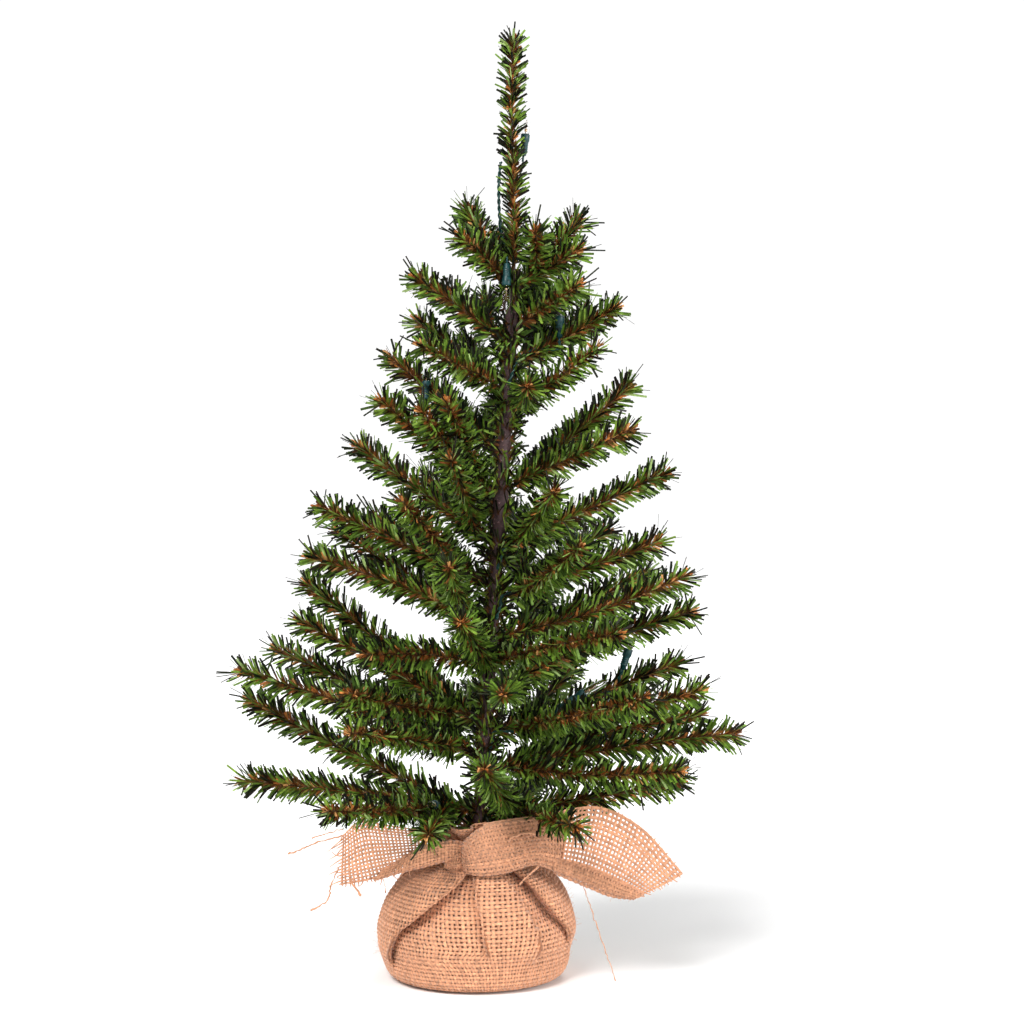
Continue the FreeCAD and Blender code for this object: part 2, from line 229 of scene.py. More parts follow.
class Soup:
    """Points, colours and faces of many closed shapes, gathered to become one mesh."""

    def __init__(self):
        self.points = []
        self.colours = []
        self.quads = []
        self.triangles = []
        self.count = 0

    def add(self, points, colours, quads, triangles):
        points = points.reshape(-1, 3)
        colours = np.asarray(colours).reshape(-1, 3)
        self.points.append(points)
        self.colours.append(np.broadcast_to(colours, points.shape))
        self.quads.append(quads.reshape(-1, 4) + self.count)
        self.triangles.append(triangles.reshape(-1, 3) + self.count)
        self.count += len(points)

    def mesh(self, name, smooth):
        mesh = bpy.data.meshes.new(name)
        faces = [face for group in self.quads + self.triangles for face in group.tolist()]
        mesh.from_pydata(np.concatenate(self.points).tolist(), [], faces, shade_flat=not smooth)
        rgba = np.ones((self.count, 4), np.float32)
        rgba[:, :3] = np.concatenate(self.colours)
        tint = mesh.color_attributes.new("tint", "FLOAT_COLOR", "POINT")
        tint.data.foreach_set("color", rgba.ravel())
        return mesh

    def piece(self, name, material, slot, *replaced, body=TRUNK, smooth=True):
        """The object, with its material, in place of the replaced CAD nodes. slot is not used."""
        mesh = self.mesh(name, smooth)
        mesh.materials.append(material)
        obj = placed(name, mesh)
        if body:
            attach(obj, body)
        if replaced:
            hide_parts(*replaced)
        return obj


def placed(name, data):
    """A new object in the scene."""
    obj = bpy.data.objects.new(name, data)
    bpy.context.scene.collection.objects.link(obj)
    return obj


def tube_faces(stations, sides, closed=False):
    """Quads between the rings, and the triangles of the two end caps."""
    ring = np.arange(sides)
    after = (ring + 1) % sides
    first = np.arange(stations if closed else stations - 1)[:, None] * sides
    second = first + sides
    if closed:
        second = second % (stations * sides)
    quads = np.stack((first + ring, first + after, second + after, second + ring), axis=-1)
    if closed:
        return quads.reshape(-1, 4), np.zeros((0, 3), int)
    fan = np.arange(1, sides - 1)
    last = (stations - 1) * sides
    foot = np.stack((np.zeros_like(fan), fan + 1, fan), axis=-1)
    head = np.stack((np.full_like(fan, last), last + fan, last + fan + 1), axis=-1)
    return quads.reshape(-1, 4), np.concatenate((foot, head))


def add_rings(soup, centres, across, beside, radius, sides, colour):
    """A closed tube of round rings about the centres."""
    turn = (TURN * np.arange(sides) / sides)[:, None]
    spoke = across[:, None] * np.cos(turn) + beside[:, None] * np.sin(turn)
    points = centres[:, None] + spoke * np.reshape(radius, (-1, 1, 1))
    soup.add(points, colour, *tube_faces(len(centres), sides))


def add_tube(soup, path, radius, sides, colour=GREY):
    """A round tube with closed ends. The radius may change along it."""
    _, across, beside = carried_frame(path)
    add_rings(soup, path, across, beside, radius, sides, colour)


def add_turned(soup, foot, heading, profile, sides):
    """A turned solid from (distance along the heading, radius) pairs, in millimetres."""
    profile = np.array(profile) * MM
    side = square_to(heading)
    other = np.cross(heading, side)
    centres = foot + heading * profile[:, :1]
    add_rings(soup, centres, side[None], other[None], profile[:, 1], sides, GREY)


STRIP_QUADS, STRIP_CAPS = (np.roll(faces[:, ::-1], 1, axis=1) for faces in tube_faces(3, 3))


def add_strips(
    soup, root, heading, side, length, width, bend, colours, thickness=NEEDLE_THICKNESS
):
    """Thin closed strips: three triangular rings each, with a colour for each ring."""
    side = unit(side - heading * np.sum(side * heading, axis=1, keepdims=True))
    normal = np.cross(heading, side)
    rings = []
    for share, wide in ((0.0, 0.75), (0.5, 1.0), (1.0, 0.9)):
        centre = root + heading * (length * share)[:, None] + bend * share**2
        half = side * np.reshape(width * wide / 2.0, (-1, 1))
        rings += [centre + half, centre - half, centre + normal * thickness]
    firsts = 9 * np.arange(len(root))[:, None, None]
    colours = np.repeat(colours, 3, axis=1)
    soup.add(np.stack(rings, axis=1), colours, STRIP_QUADS + firsts, STRIP_CAPS + firsts)


# ---- materials ----


def feed(tree, sockets, **values):
    """Gives each named socket its value: another socket to link to, or a plain value."""
    for name, value in values.items():
        socket = sockets[name.replace("_", " ")]
        if isinstance(value, bpy.types.NodeSocket):
            tree.links.new(value, socket)
        else:
            socket.default_value = (*value, 1.0) if socket.type == "RGBA" else value


def add_node(tree, kind, output=0, **values):
    """A new node's output, with the values in its inputs."""
    node = tree.nodes.new("ShaderNode" + kind)
    feed(tree, node.inputs, **values)
    return node.outputs[output]


def map_range(tree, value, start, end, low, high):
    """The value from start to end, stretched to run from low to high."""
    ends = {"From_Min": start, "From_Max": end, "To_Min": low, "To_Max": high}
    return add_node(tree, "MapRange", Value=value, **ends)


class Shading:
    """One material's nodes, with short ways to add the ones that this object uses."""

    def __init__(self, name, **values):
        self.material = bpy.data.materials.new(name)
        self.material.use_nodes = True
        self.tree = self.material.node_tree
        self.shader = self.tree.nodes["Principled BSDF"]
        self.place = add_node(self.tree, "TexCoord", "Object")
        self.set(**values)

    def set(self, **values):
        feed(self.tree, self.shader.inputs, **values)

    def noise(self, scale, detail=3.0, stretch=None):
        place = self.place
        if stretch is not None:
            place = add_node(self.tree, "Mapping", Vector=place, Scale=stretch)
        return add_node(self.tree, "TexNoise", "Fac", Vector=place, Scale=scale, Detail=detail)

    def spread(self, value, low, high, start=0.3, end=0.7):
        return map_range(self.tree, value, start, end, low, high)

    def mix(self, share, first, second, blend="MIX"):
        """Two colours mixed. Each is a socket or a plain colour, and so is the share."""
        node = self.tree.nodes.new("ShaderNodeMix")
        node.data_type = "RGBA"
        node.blend_type = blend
        sockets = {"share": node.inputs[0], "first": node.inputs[6], "second": node.inputs[7]}
        feed(self.tree, sockets, share=share, first=first, second=second)
        return node.outputs[2]

    def tint(self):
        node = self.tree.nodes.new("ShaderNodeAttribute")
        node.attribute_name = "tint"
        return node.outputs["Color"]

    def shade(self, colour, low, high):
        """The colour times a grey that the noise moves between low and high."""
        grey = self.spread(self.noise(420.0), low, high)
        grey = add_node(self.tree, "CombineColor", Red=grey, Green=grey, Blue=grey)
        return self.mix(1.0, colour, grey, "MULTIPLY")

    def bump(self, height, distance, strength):
        height = {"Height": height, "Distance": distance * MM, "Strength": strength}
        self.set(Normal=add_node(self.tree, "Bump", **height))


def needle_material():
    s = Shading("needle_film", Specular_IOR_Level=0.14)
    s.set(Base_Color=s.shade(s.tint(), 0.6, 1.36))
    s.set(Roughness=s.spread(s.noise(260.0), 0.36, 0.62))
    s.bump(s.noise(900.0, 4.0), 0.15, 0.35)
    return s.material


def burlap_material(name, low, high):
    s = Shading(name, Sheen_Weight=0.25, Sheen_Roughness=0.6, Specular_IOR_Level=0.2)
    fibres = s.noise(2600.0, 5.0)
    s.set(Base_Color=s.shade(s.tint(), low, high), Roughness=s.spread(fibres, 0.78, 0.98))
    s.bump(fibres, 0.25, 0.8)
    return s.material


def tape_material():
    s = Shading("trunk_tape_crepe")
    crepe = s.noise(300.0, 5.0, (1.0, 1.0, 4.5))
    flecks = s.spread(s.noise(620.0, 6.0), 0.0, 1.0, 0.62, 0.72)
    base = s.mix(s.spread(crepe, 0.0, 1.0), srgb(42, 26, 28), srgb(76, 50, 50))
    s.set(Base_Color=s.mix(flecks, base, srgb(150, 118, 116)))
    s.set(Roughness=s.spread(crepe, 0.55, 0.85))
    s.bump(crepe, 0.4, 0.8)
    return s.material


def glass_material():
    s = Shading("bulb_glass", Transmission_Weight=1.0, IOR=1.22, Base_Color=(0.97, 0.98, 0.98))
    s.set(Roughness=s.spread(s.noise(60.0), 0.0, 0.012))
    return s.material


def two_toned(name, grain, tones, rough, bump=None, **values):
    """A material of two tones in patches. Each of rough and bump ends with the scale of its own
    grain, or with None where it follows the patches."""
    s = Shading(name, **values)
    patches = s.noise(*grain)
    s.set(Base_Color=s.mix(s.spread(patches, 0.0, 1.0), *(srgb(*tone) for tone in tones)))
    low, high, finer = rough
    s.set(Roughness=s.spread(s.noise(finer) if finer else patches, low, high))
    if bump:
        distance, strength, finer = bump
        s.bump(s.noise(finer) if finer else patches, distance, strength)
    return s.material


def floor_material():
    white = (FLOOR_WHITE,) * 3
    return Shading("floor_paper", Roughness=0.9, Base_Color=white, Specular_IOR_Level=0.1).material


NEEDLE = needle_material()
BURLAP = burlap_material("burlap_yarn", 0.78, 1.16)
LINING = burlap_material("burlap_second_layer", 0.7, 1.2)
TAPE = tape_material()
WIRE = two_toned(
    "lacquered_wire", (180.0, 4.0), ((50, 44, 24), (92, 64, 36)),
    (0.38, 0.62, None), (0.08, 0.4, 1500.0), Metallic=0.35,
)
STRING = two_toned(
    "string_insulation", (90.0, 3.0), ((3, 44, 40), (12, 68, 60)),
    (0.28, 0.5, 700.0), (0.05, 0.4, 1200.0),
)
SOCKET = two_toned(
    "socket_plastic", (500.0, 6.0), ((3, 38, 40), (14, 70, 72)),
    (0.3, 0.55, None), (0.06, 0.4, None),
)
METAL = two_toned(
    "lamp_metal", (300.0, 3.0), ((150, 140, 128), (196, 160, 120)),
    (0.25, 0.45, 800.0), Metallic=1.0,
)
CEMENT = two_toned(
    "base_cement", (160.0, 6.0), ((120, 92, 70), (160, 130, 104)),
    (0.8, 0.97, None), (0.8, 0.7, None),
)
STEEL = two_toned(
    "core_steel", (220.0, 5.0), ((70, 66, 62), (104, 82, 66)),
    (0.4, 0.7, None), Metallic=0.9,
)
GLASS = glass_material()

# ---- reading the frame ----


def solids_of(node):
    """The points of each separate solid of a CAD node."""
    mesh = NODES[node].data
    points = np.array([vertex.co for vertex in mesh.vertices])
    cells = np.round(points / WELD).astype(np.int64)
    _, first, weld = np.unique(cells, axis=0, return_index=True, return_inverse=True)
    mesh.calc_loop_triangles()
    triangles = weld.ravel()[[triangle.vertices[:] for triangle in mesh.loop_triangles]]
    label = np.arange(len(first))
    while True:
        lowered = label.copy()
        np.minimum.at(lowered, triangles.ravel(), np.repeat(label[triangles].min(axis=1), 3))
        lowered = lowered[lowered]
        if (lowered == label).all():
            break
        label = lowered
    welded = points[first]
    return [welded[label == k] for k in np.unique(label)]


def ring_centre(solid, point):
    """The middle of the ring of a wire's corners around this one."""
    return solid[np.linalg.norm(solid - point, axis=1) < RING_REACH].mean(axis=0)


def wire_lines(node, hinge):
    """Each wire's centreline from its root: its two ends and, where it bends, its corner."""
    lines = []
    for solid in solids_of(node):
        reach = np.linalg.norm(solid - hinge, axis=1)
        root = ring_centre(solid, solid[np.argmin(reach)])
        end = ring_centre(solid, solid[np.argmax(reach)])
        gap = np.minimum(*(np.linalg.norm(solid - centre, axis=1) for centre in (root, end)))
        between = solid[gap > RING_REACH]
        corner = [between.mean(axis=0)] if len(between) else []
        lines.append([root, *corner, end])
    return sorted(lines, key=len)


def trunk_line():
    """The taped trunk's centreline, from the rings of its CAD tube, as points by height."""
    points = max(solids_of("trunk_tape"), key=len)
    points = points[np.argsort(points[:, 2])]
    groups = np.split(points, np.flatnonzero(np.diff(points[:, 2]) > 1.2 * MM) + 1)
    return np.array([(g.min(axis=0) + g.max(axis=0)) / 2.0 for g in groups if len(g) > 7])


TRUNK_LINE = trunk_line()


def trunk_centre(heights):
    heights = np.asarray(heights, float)
    plan = [np.interp(heights, TRUNK_LINE[:, 2], TRUNK_LINE[:, k]) for k in (0, 1)]
    return np.stack((*plan, heights), axis=-1)


def outward_at(hinge):
    """The trunk's centre at the hinge's height, and the level direction from it to the hinge."""
    centre = trunk_centre(hinge[2])
    return centre, unit(hinge - centre)


HINGES = {j["child"]: np.array(j["pos_m"], float) for j in frame["joints"]}
BRANCHES = sorted(HINGES)

# ---- branches ----


def bowed(path, rng):
    """The path with the slight sweep of a wire bent by hand."""
    marks = distances(path)
    share = marks / marks[-1]
    lean = unit(rng.normal(size=3)) * 0.012 + UP * 0.012 * rng.normal()
    wave = np.sin(math.pi * share)[:, None] * marks[-1]
    return path + lean * wave + unit(rng.normal(size=3)) * 0.5 * MM * np.sin(9.0 * share)[:, None]


def tip_path(line, rng):
    """A tip's centreline, from its wire's root to the end of its needles."""
    nose = line[-1] + unit(line[-1] - line[-2]) * TIP_COVER
    return bowed(smoothed(evenly(np.array(line[:-1] + [nose]), STATION), 5), rng)


def jitter(rng, count):
    return rng.normal(size=(count, 3))


def picked(palette, rng, count):
    return palette[rng.integers(0, len(palette), count)]


def needle_colours(heading, rng, dark_share):
    """A needle's colour: a random tone, with painted shade that makes it darker on the whole where
    it points up, and a few pale painted highlights.
    """
    count = len(heading)
    kind = rng.random(count)
    # painted shade: needles that point up are more often dark
    dark = dark_share + 0.3 * np.clip(heading[:, 2], 0.0, 1.0)
    colours = picked(GREENS, rng, count)
    colours = np.where((kind < dark)[:, None], picked(DARKS_AND_PAINTED_SHADE, rng, count), colours)
    # a few needles take the pale greens of painted highlights
    return np.where((kind > 0.93)[:, None], picked(PAINTED_HIGHLIGHT_GREENS, rng, count), colours)


def strip_rows(colours, brown_root, tip_shade):
    """Each strip's colours at its root, middle and tip."""
    brown = np.reshape(brown_root, (-1, 1))
    root = colours * (1.0 - brown) + BROWNS[0] * brown
    return np.stack((root, colours, colours * np.reshape(tip_shade, (-1, 1))), axis=1)


def husk_colours(bright, rng):
    count = len(bright)
    return np.where(bright[:, None], picked(ORANGES, rng, count), picked(BROWNS, rng, count))


def add_brush(soup, path, start, rng, reach=1.0, dark_share=DARK_SHARE):
    """The needles, husks and end bud of one tip, from the distance start along its path."""
    marks = distances(path)
    total = marks[-1]
    frame_axes = carried_frame(path)

    def scattered(per_metre):
        """How many strips there are, and how far along the path each is."""
        count = int((total - start) * per_metre)
        return count, start + (total - LAST_ROOT - start) * rng.random(count)

    def spray(distance, blade, lean):
        """The roots and headings of strips, with the wire's and their outward directions."""
        index = np.clip(np.searchsorted(marks, distance), 0, len(marks) - 1)
        tangent, across, beside = (axis[index] for axis in frame_axes)
        out = across * np.cos(blade)[:, None] + beside * np.sin(blade)[:, None]
        heading = unit(tangent * np.cos(lean)[:, None] + out * np.sin(lean)[:, None])
        return along(path, distance), heading, tangent, out

    # the long film needles, on the two blades of the twist
    count, distance = scattered(NEEDLES_PER_METRE)
    blade = TURN * distance / TWIST_PITCH + math.pi * rng.integers(0, 2, count)
    blade += BLADE_SPREAD * rng.normal(size=count)
    near_end = smoothstep((distance - (total - TIP_CLOSING)) / (10.0 * MM))
    lean = np.radians(NEEDLE_LEAN + 6.0 * rng.normal(size=count)) * (1.0 - 0.45 * near_end)
    lean += SPLAY * (rng.random(count) < SPLAYED_SHARE)
    root, heading, tangent, out = spray(distance, blade, lean)
    stray = 1.0 + STRAY_EXTRA * (rng.random(count) < STRAY_SHARE)
    length = NEEDLE_LENGTH * reach * stray * (1.0 + 0.07 * rng.normal(size=count))
    side = tangent + 0.55 * jitter(rng, count)
    bend = 0.5 * MM * jitter(rng, count) - tangent * 0.5 * MM
    colours = needle_colours(heading, rng, dark_share)
    width = NEEDLE_WIDTH * (0.85 + 0.4 * rng.random(count))
    rows = strip_rows(colours, 0.5 + 0.45 * rng.random(count), 0.55 + 0.4 * rng.random(count))
    add_strips(soup, root + out * 0.4 * MM, heading, side, length, width, bend, rows)

    # the short brown husks all round the core
    count, distance = scattered(HUSKS_PER_METRE)
    blade = TURN * rng.random(count)
    lean = np.radians(HUSK_LEAN + 14.0 * rng.normal(size=count))
    root, heading, tangent, out = spray(distance, blade, lean)
    twist = np.cos(2.0 * (blade - TURN * distance / TWIST_PITCH))
    colours = husk_colours(rng.random(count) < 0.12 + 0.5 * np.clip(twist, 0.0, 1.0) ** 2, rng)
    side = tangent + 0.6 * jitter(rng, count)
    length = HUSK_LENGTH * reach * (0.75 + 0.5 * rng.random(count))
    width = NEEDLE_WIDTH * (0.8 + 0.3 * rng.random(count))
    bend = 0.4 * MM * jitter(rng, count)
    rows = strip_rows(colours, 0.3, 0.95)
    add_strips(soup, root + out * 0.3 * MM, heading, side, length, width, bend, rows)

    # the bud of cut ends at the tip
    count = BUD_STRIPS
    distance = total - LAST_ROOT + 2.0 * MM * rng.random(count)
    blade = TURN * rng.random(count)
    lean = np.radians(6.0 + 34.0 * rng.random(count))
    root, heading, *_ = spray(distance, blade, lean)
    rows = strip_rows(husk_colours(rng.random(count) < 0.55, rng), 0.2, 1.0)
    side = jitter(rng, count)
    length = reach * (4.5 + 2.5 * rng.random(count)) * MM
    bend = 0.3 * MM * jitter(rng, count)
    add_strips(soup, root, heading, side, length, NEEDLE_WIDTH, bend, rows)

    # a few long strays that splay from the tip
    rows = strip_rows(np.tile(DARKS_AND_PAINTED_SHADE, (2, 1)), 0.2, 0.9)
    count = len(rows)
    blade = TURN * rng.random(count)
    lean = np.radians(18.0 + 60.0 * rng.random(count))
    root, heading, *_ = spray(np.full(count, total - LAST_ROOT), blade, lean)
    side = jitter(rng, count)
    length = reach * (12.0 + 6.0 * rng.random(count)) * MM
    bend = 1.5 * MM * jitter(rng, count)
    add_strips(soup, root, heading, side, length, 0.8 * NEEDLE_WIDTH, bend, rows)


def add_twist(soup, path, radius=STRAND_RADIUS, offset=STRAND_OFFSET, pitch=STRAND_PITCH):
    """Two wires twisted together along the path."""
    _, across, beside = carried_frame(path)
    for start in (0.0, 0.5):
        turn = (TURN * (distances(path) / pitch + start))[:, None]
        line = path + offset * (across * np.cos(turn) + beside * np.sin(turn))
        add_tube(soup, line, radius, STRAND_SIDES)


def root_run(hinge, stem):
    """The wire from under the trunk's tape to the hinge."""
    centre, outward = outward_at(hinge)
    return [
        centre + outward * 3.0 * MM - UP * 12.0 * MM,
        centre + outward * 3.3 * MM - UP * 5.0 * MM,
        hinge - outward * 1.2 * MM - UP * 0.8 * MM,
        hinge + stem * 0.6 * MM,
    ]


def build_branch(number, name):
    """A branch's needles, which ride on it, and its wires, which run from under the trunk's tape
    and are not attached to the branch.
    """
    rng = seeded(number)
    hinge = HINGES[name]
    needles = Soup()
    wires = Soup()
    paths = []
    for line in wire_lines(name + "_wire", hinge):
        path = tip_path(line, rng)
        total = distances(path)[-1]
        is_stem = len(line) == 2
        if is_stem:
            start = STEM_BARE
            stem = unit(line[1] - line[0])
        else:
            start = np.linalg.norm(line[1] - line[0]) + 1.0 * MM
        add_brush(needles, path, start, rng)
        wire = along(path, np.linspace(0.0, total - TIP_COVER, int(total / (1.3 * MM))))
        if is_stem:
            root = smoothed(evenly(np.array(root_run(hinge, stem)), 1.0 * MM), 3)
            wire = np.concatenate((root[:-1], wire[1:]))
        add_twist(wires, wire)
        paths.append(path)
    needles.piece(name + "_brush", NEEDLE, "needles", name + "_needles", body=name, smooth=False)
    twist = wires.piece(name + "_twisted_wire", WIRE, "branch_wire", name + "_wire", body=None)
    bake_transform(twist)
    return paths


PATHS = {name: build_branch(k, name) for k, name in enumerate(BRANCHES, 1)}

# ---- trunk and leader ----

TAPE_RADIUS = 4.15 * MM
TAPE_LAP_PITCH = 11.0 * MM
TAPE_LAP = 0.45 * MM
TAPE_TAIL_BULGE = 0.9 * MM
TAPE_SIDES = 30
TAPE_STEP = 0.9 * MM
WIRE_TAIL = 14.0 * MM  # taped down below each hinge
TAIL_NEEDLES = 52  # round each branch's tail
TAIL_NEEDLE_SPREAD = 1.0  # radians
TAIL_NEEDLE_LEAN = 50.0  # degrees
DOWNWARD_SHARE = 0.25  # of the trunk's needles
LOOSE_NEEDLES = 1300
# Where the tape shows at the front: height and half-span, in millimetres.
TAPE_SHOWS = ((198, 5), (295, 6), (313, 6), (432, 6))


def turn_of(hinge):
    """The hinge's azimuth about the trunk, in radians."""
    _, outward = outward_at(hinge)
    return math.atan2(outward[1], outward[0])


def build_tape():
    """Crepe tape wound up the trunk: each lap steps over the last, and bulges over wire tails."""
    low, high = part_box("trunk_tape")
    heights = np.arange(low.z, high.z, TAPE_STEP)
    turn = TURN * np.arange(TAPE_SIDES) / TAPE_SIDES
    centre = trunk_centre(heights)[:, None]
    z = heights[:, None]
    lap = (z / TAPE_LAP_PITCH - turn / TURN) % 1.0
    rng = seeded(0)
    radius = TAPE_RADIUS + TAPE_LAP * (0.5 - lap) + 0.09 * MM * rng.normal(size=lap.shape)
    radius += 0.25 * MM * np.sin(5.0 * turn + 190.0 * z) * np.sin(61.0 * z)
    for hinge in HINGES.values():
        aside = np.angle(np.exp(1j * (turn - turn_of(hinge))))
        below = (hinge[2] - z) / WIRE_TAIL
        bulge = smoothstep(below * 5.0 + 1.0) * smoothstep(1.2 - below)
        radius += TAPE_TAIL_BULGE * np.exp(-((aside / 0.45) ** 2)) * bulge
    points = centre + polar(radius, turn, 0.0)
    soup = Soup()
    soup.add(points, GREY, *tube_faces(len(heights), TAPE_SIDES))
    soup.piece("trunk_tape_wrap", TAPE, "trunk_tape", "trunk_tape")


def build_trunk_needles():
    """Needles on the branches' taped tails, which stand out of the tape all round the trunk."""
    rng = seeded(50)
    roots = []
    for hinge in HINGES.values():
        heights = hinge[2] + (4.0 - 17.0 * rng.random(TAIL_NEEDLES)) * MM
        turns = turn_of(hinge) + TAIL_NEEDLE_SPREAD * rng.normal(size=TAIL_NEEDLES)
        roots.append((heights, turns))
    low, high = (end(hinge[2] for hinge in HINGES.values()) for end in (min, max))
    heights = low + (high - low) * rng.random(LOOSE_NEEDLES)
    roots.append((heights, TURN * rng.random(LOOSE_NEEDLES)))
    heights, turns = np.concatenate(roots, axis=1)
    bare = np.zeros(len(heights), bool)
    for height, half in TAPE_SHOWS:
        bare |= (np.abs(heights + 5.0 * MM - height * MM) < half * MM) & (np.sin(turns) < -0.2)
    heights, turns = heights[~bare], turns[~bare]
    count = len(heights)
    out = polar(1.0, turns, 0.0)
    lean = np.radians(TAIL_NEEDLE_LEAN + 16.0 * rng.normal(size=count))
    lean = np.where(rng.random(count) < DOWNWARD_SHARE, math.pi - lean, lean)
    rise = UP * np.cos(lean)[:, None]
    heading = unit(rise + out * np.sin(lean)[:, None] + 0.25 * jitter(rng, count))
    root = trunk_centre(heights) + out * (TAPE_RADIUS - 0.4 * MM)
    side = UP + 0.5 * jitter(rng, count)
    length = NEEDLE_LENGTH * (0.72 + 0.25 * rng.random(count))
    width = NEEDLE_WIDTH * (0.85 + 0.4 * rng.random(count))
    bend = 0.8 * MM * jitter(rng, count)
    # a dark share of 0.4 here is painted shade, for needles in the shade among the branches
    rows = strip_rows(needle_colours(heading, rng, 0.4), 0.4 + 0.4 * rng.random(count), 0.7)
    soup = Soup()
    add_strips(soup, root, heading, side, length, width, bend, rows)
    soup.piece("trunk_tape_needles", NEEDLE, "needles", smooth=False)


def build_leader():
    rng = seeded(100)
    foot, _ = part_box("leader_wire")
    low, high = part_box("leader_needles")
    centre = np.array(((low.x + high.x) / 2.0, (low.y + high.y) / 2.0, 0.0))
    line = [centre + UP * z for z in (foot.z, low.z, high.z - LEADER_SHORT)]
    path = evenly(np.array(line), STATION)
    share = (path[:, 2] - foot.z) / (high.z - foot.z)
    path[:, 0] += 0.9 * MM * np.sin(7.0 * share)
    path[:, 1] += 0.7 * MM * np.sin(5.0 * share + 1.0)
    needles = Soup()
    add_brush(needles, path, low.z - foot.z - 4.0 * MM, rng, LEADER_REACH, LEADER_DARKS)
    needles.piece("leader_brush", NEEDLE, "needles", "leader_needles", smooth=False)
    wires = Soup()
    add_twist(wires, path[path[:, 2] < high.z - LEADER_SHORT - TIP_COVER])
    wires.piece("leader_twisted_wire", WIRE, "branch_wire", "leader_wire")


build_tape()
build_trunk_needles()
build_leader()

# ---- burlap ----

YARN_SIDES = 5
YARN_THICKNESS = 0.9 * MM
YARN_LEAST = 0.7 * MM
YARN_MOST = 2.5 * MM
YARN_ROUNDNESS = 0.62  # the most that a yarn is thick, as a share of its width
YARN_LIFT = 0.42  # of its thickness, over and under at the crossings
SACK_PITCH = 2.65 * MM
SACK_FILL = 0.74
SACK_TAN = srgb(213, 152, 114)
STRIP_TAN = SACK_TAN * 0.94
FRINGE_TAN = SACK_TAN * 0.95
# the second layer's darker brown is painted shade behind the weave
LINING_PAINTED_SHADE = srgb(152, 98, 65)
LINING_SIDES = 300
LINING_DEPTH = 1.5 * MM  # behind the middle of the sack's yarns

# The sack's outline: shares of the CAD bag's radius and of its height, from the bottom up.
SACK_OUTLINE = (
    (0.50, 0.010), (0.74, 0.010), (0.885, 0.030), (0.955, 0.095), (0.975, 0.20), (0.97, 0.32),
    (0.945, 0.455), (0.88, 0.575), (0.76, 0.68), (0.58, 0.755), (0.42, 0.80), (0.32, 0.845),
    (0.30, 0.90), (0.36, 0.96), (0.45, 1.01), (0.50, 1.045),
)
# The sack's folds: the edge's path as (height, azimuth) pairs, the side that the upper layer
# lies on (1 towards larger azimuths), how far that layer stands out, how deep the cloth dips
# beside it, and how far the edge hangs over, in millimetres.
SACK_FOLDS = (
    (((8, 212), (22, 211), (38, 219), (56, 238), (70, 254), (80, 262)), -1, 7.0, 14.0, 8.5),
    (((16, 279), (32, 278), (52, 275), (75, 270)), 1, 3.2, 5.5, 6.0),
    (((14, 310), (40, 307), (65, 297), (76, 292)), -1, 5.0, 6.0, 7.0),
    (((20, 342), (38, 338), (54, 326), (74, 314)), 1, 5.5, 15.0, 8.5),
    (((16, 12), (40, 16), (74, 20)), -1, 3.0, 3.5, 5.6),
    (((10, 44), (45, 52), (74, 58)), 1, 4.0, 4.5, 6.5),
    (((18, 84), (45, 88), (74, 96)), -1, 3.0, 3.0, 5.0),
    (((8, 126), (40, 118), (74, 112)), 1, 4.2, 4.8, 6.5),
    (((16, 150), (45, 155), (74, 158)), -1, 3.0, 3.0, 5.6),
    (((20, 186), (45, 190), (74, 198)), 1, 2.4, 3.0, 5.0),
)
FOLD_EDGE = 4.3 * MM  # half the cloth that turns under at an edge
FOLD_REACH = 24.0 * MM  # how far the upper layer's rise runs back from the edge
DIP_REACH = 14.0 * MM
WEIGHT_CLEAR = 30.0  # the height, in millimetres, where the cloth is free of the weight
PLAIN_FRONT = 288.0  # azimuth of the smooth panel that the cloth's yarns are counted from
YARN_SLANT = 0.032
FOLD_RISE = 16.0  # the height, in millimetres, over which a fold grows to its full size
GATHERS = 17
GATHER_DEPTH = 1.7 * MM
GATHER_SPAN = 75.0 * MM  # from the mouth's edge down to where the gathers start
RUFFLES = 7  # round the mouth
RUFFLE_DEPTH = 3.2 * MM
RUFFLE_SPAN = 20.0 * MM


def sack_outline():
    """The sack's outline as (radius, height) points close together."""
    low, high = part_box("burlap_sack")
    wide = (high.x - low.x) / 2.0
    tall = high.z - low.z
    return curve_through([(r * wide, z * tall) for r, z in SACK_OUTLINE], 12)


OUTLINE = sack_outline()
OUTLINE_MARKS = distances(OUTLINE)


